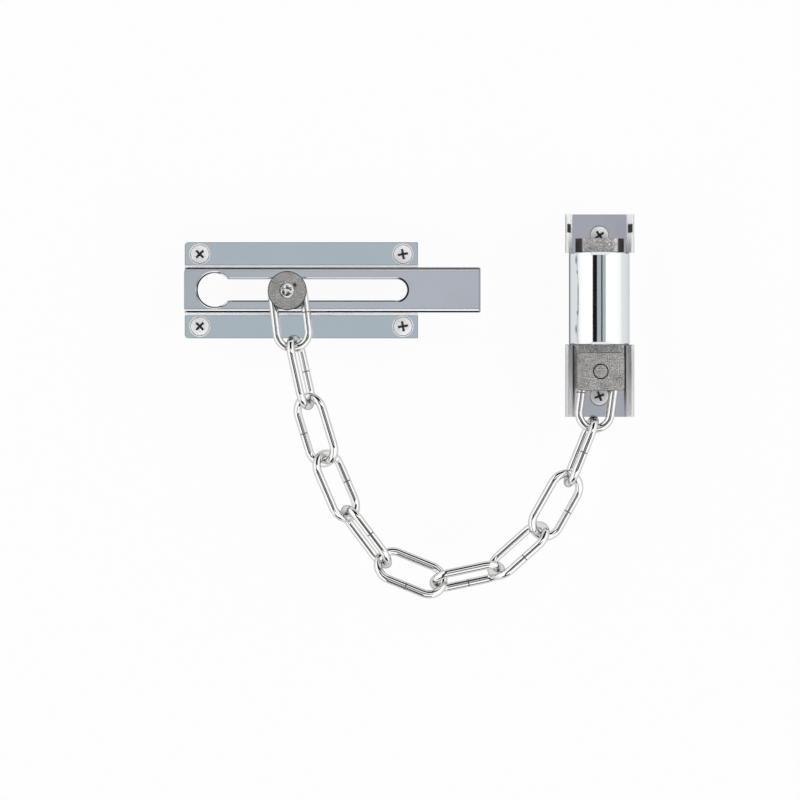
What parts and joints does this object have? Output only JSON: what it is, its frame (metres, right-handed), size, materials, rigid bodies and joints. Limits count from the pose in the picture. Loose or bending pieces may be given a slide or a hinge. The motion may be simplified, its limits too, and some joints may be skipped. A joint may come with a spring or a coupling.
{
  "type": "door security chain",
  "caption": "Surface-mounted door security chain: slotted keeper plate with a sliding stud, a chain of bent-wire links, and a frame bracket with a half-round sleeve.",
  "frame": {"origin": "middle of the keeper's four screws, on the door's face", "axes": "+X along the keeper towards its nose, +Y up the door, +Z out of the door"},
  "size_m": [0.1636, 0.1395, 0.0303],
  "materials": {
    "chrome_plate": "polished chrome plate",
    "bright_links": "bright plated steel wire",
    "screw_steel": "bright zinc plate",
    "satin_steel": "satin steel, fine grain",
    "turned_steel": "turned steel, peened ends"
  },
  "bodies": {
    "keeper": {"keeper_plate": "chrome_plate", "keeper_screws": "screw_steel"},
    "slider": {"slider_stud": "turned_steel", "slider_disc": "satin_steel"},
    "link_01": {"chain_link_01": "bright_links"},
    "link_02": {"chain_link_02": "bright_links"},
    "link_03": {"chain_link_03": "bright_links"},
    "link_04": {"chain_link_04": "bright_links"},
    "link_05": {"chain_link_05": "bright_links"},
    "link_06": {"chain_link_06": "bright_links"},
    "link_07": {"chain_link_07": "bright_links"},
    "link_08": {"chain_link_08": "bright_links"},
    "link_09": {"chain_link_09": "bright_links"},
    "link_10": {"chain_link_10": "bright_links"},
    "link_11": {"chain_link_11": "bright_links"},
    "bracket": {"bracket_plate": "chrome_plate", "bracket_screws": "screw_steel", "anchor_strap": "satin_steel", "anchor_post": "turned_steel", "anchor_plate": "satin_steel"}
  },
  "joints": [
    {"name": "slider_travel", "type": "slide", "parent": "keeper", "child": "slider", "axis": [1, 0, 0], "range_m": [-0.0266, 0.0393]},
    {"name": "link_01_swing", "type": "hinge", "parent": "slider", "child": "link_01", "pos_m": [-0.0049, -0.0004, 0.00835], "axis": [0, 0, 1], "range_deg": [-25, 10]},
    {"name": "link_02_swing", "type": "hinge", "parent": "link_01", "child": "link_02", "pos_m": [-0.00276, -0.01787, 0.00835], "axis": [0, 0, -1], "range_deg": [-10, 25]},
    {"name": "link_03_swing", "type": "hinge", "parent": "link_02", "child": "link_03", "pos_m": [0.00242, -0.04126, 0.00835], "axis": [0, 0, 1], "range_deg": [-25, 10]},
    {"name": "link_04_swing", "type": "hinge", "parent": "link_03", "child": "link_04", "pos_m": [0.00843, -0.06103, 0.00835], "axis": [0, 0, -1], "range_deg": [-10, 25]},
    {"name": "link_05_swing", "type": "hinge", "parent": "link_04", "child": "link_05", "pos_m": [0.01676, -0.0807, 0.00835], "axis": [0, 0, 1], "range_deg": [-25, 10]},
    {"name": "link_06_swing", "type": "hinge", "parent": "link_05", "child": "link_06", "pos_m": [0.03061, -0.09925, 0.00835], "axis": [0, 0, -1], "range_deg": [-10, 25]},
    {"name": "link_07_swing", "type": "hinge", "parent": "link_06", "child": "link_07", "pos_m": [0.04888, -0.10668, 0.00835], "axis": [0, 0, 1], "range_deg": [-25, 10]},
    {"name": "link_08_swing", "type": "hinge", "parent": "link_07", "child": "link_08", "pos_m": [0.07117, -0.10204, 0.00835], "axis": [0, 0, -1], "range_deg": [-10, 25]},
    {"name": "link_09_swing", "type": "hinge", "parent": "link_08", "child": "link_09", "pos_m": [0.08775, -0.08684, 0.00835], "axis": [0, 0, 1], "range_deg": [-25, 10]},
    {"name": "link_10_swing", "type": "hinge", "parent": "link_09", "child": "link_10", "pos_m": [0.09722, -0.06971, 0.00835], "axis": [0, 0, -1], "range_deg": [-10, 25]},
    {"name": "link_11_swing", "type": "hinge", "parent": "link_10", "child": "link_11", "pos_m": [0.10629, -0.0471, 0.00835], "axis": [0, 0, 1], "range_deg": [-25, 10]},
    {"name": "bracket_swing", "type": "hinge", "parent": "link_11", "child": "bracket", "pos_m": [0.10862, -0.02966, 0.00835], "axis": [0, 0, -1], "range_deg": [-15, 15]}
  ]
}
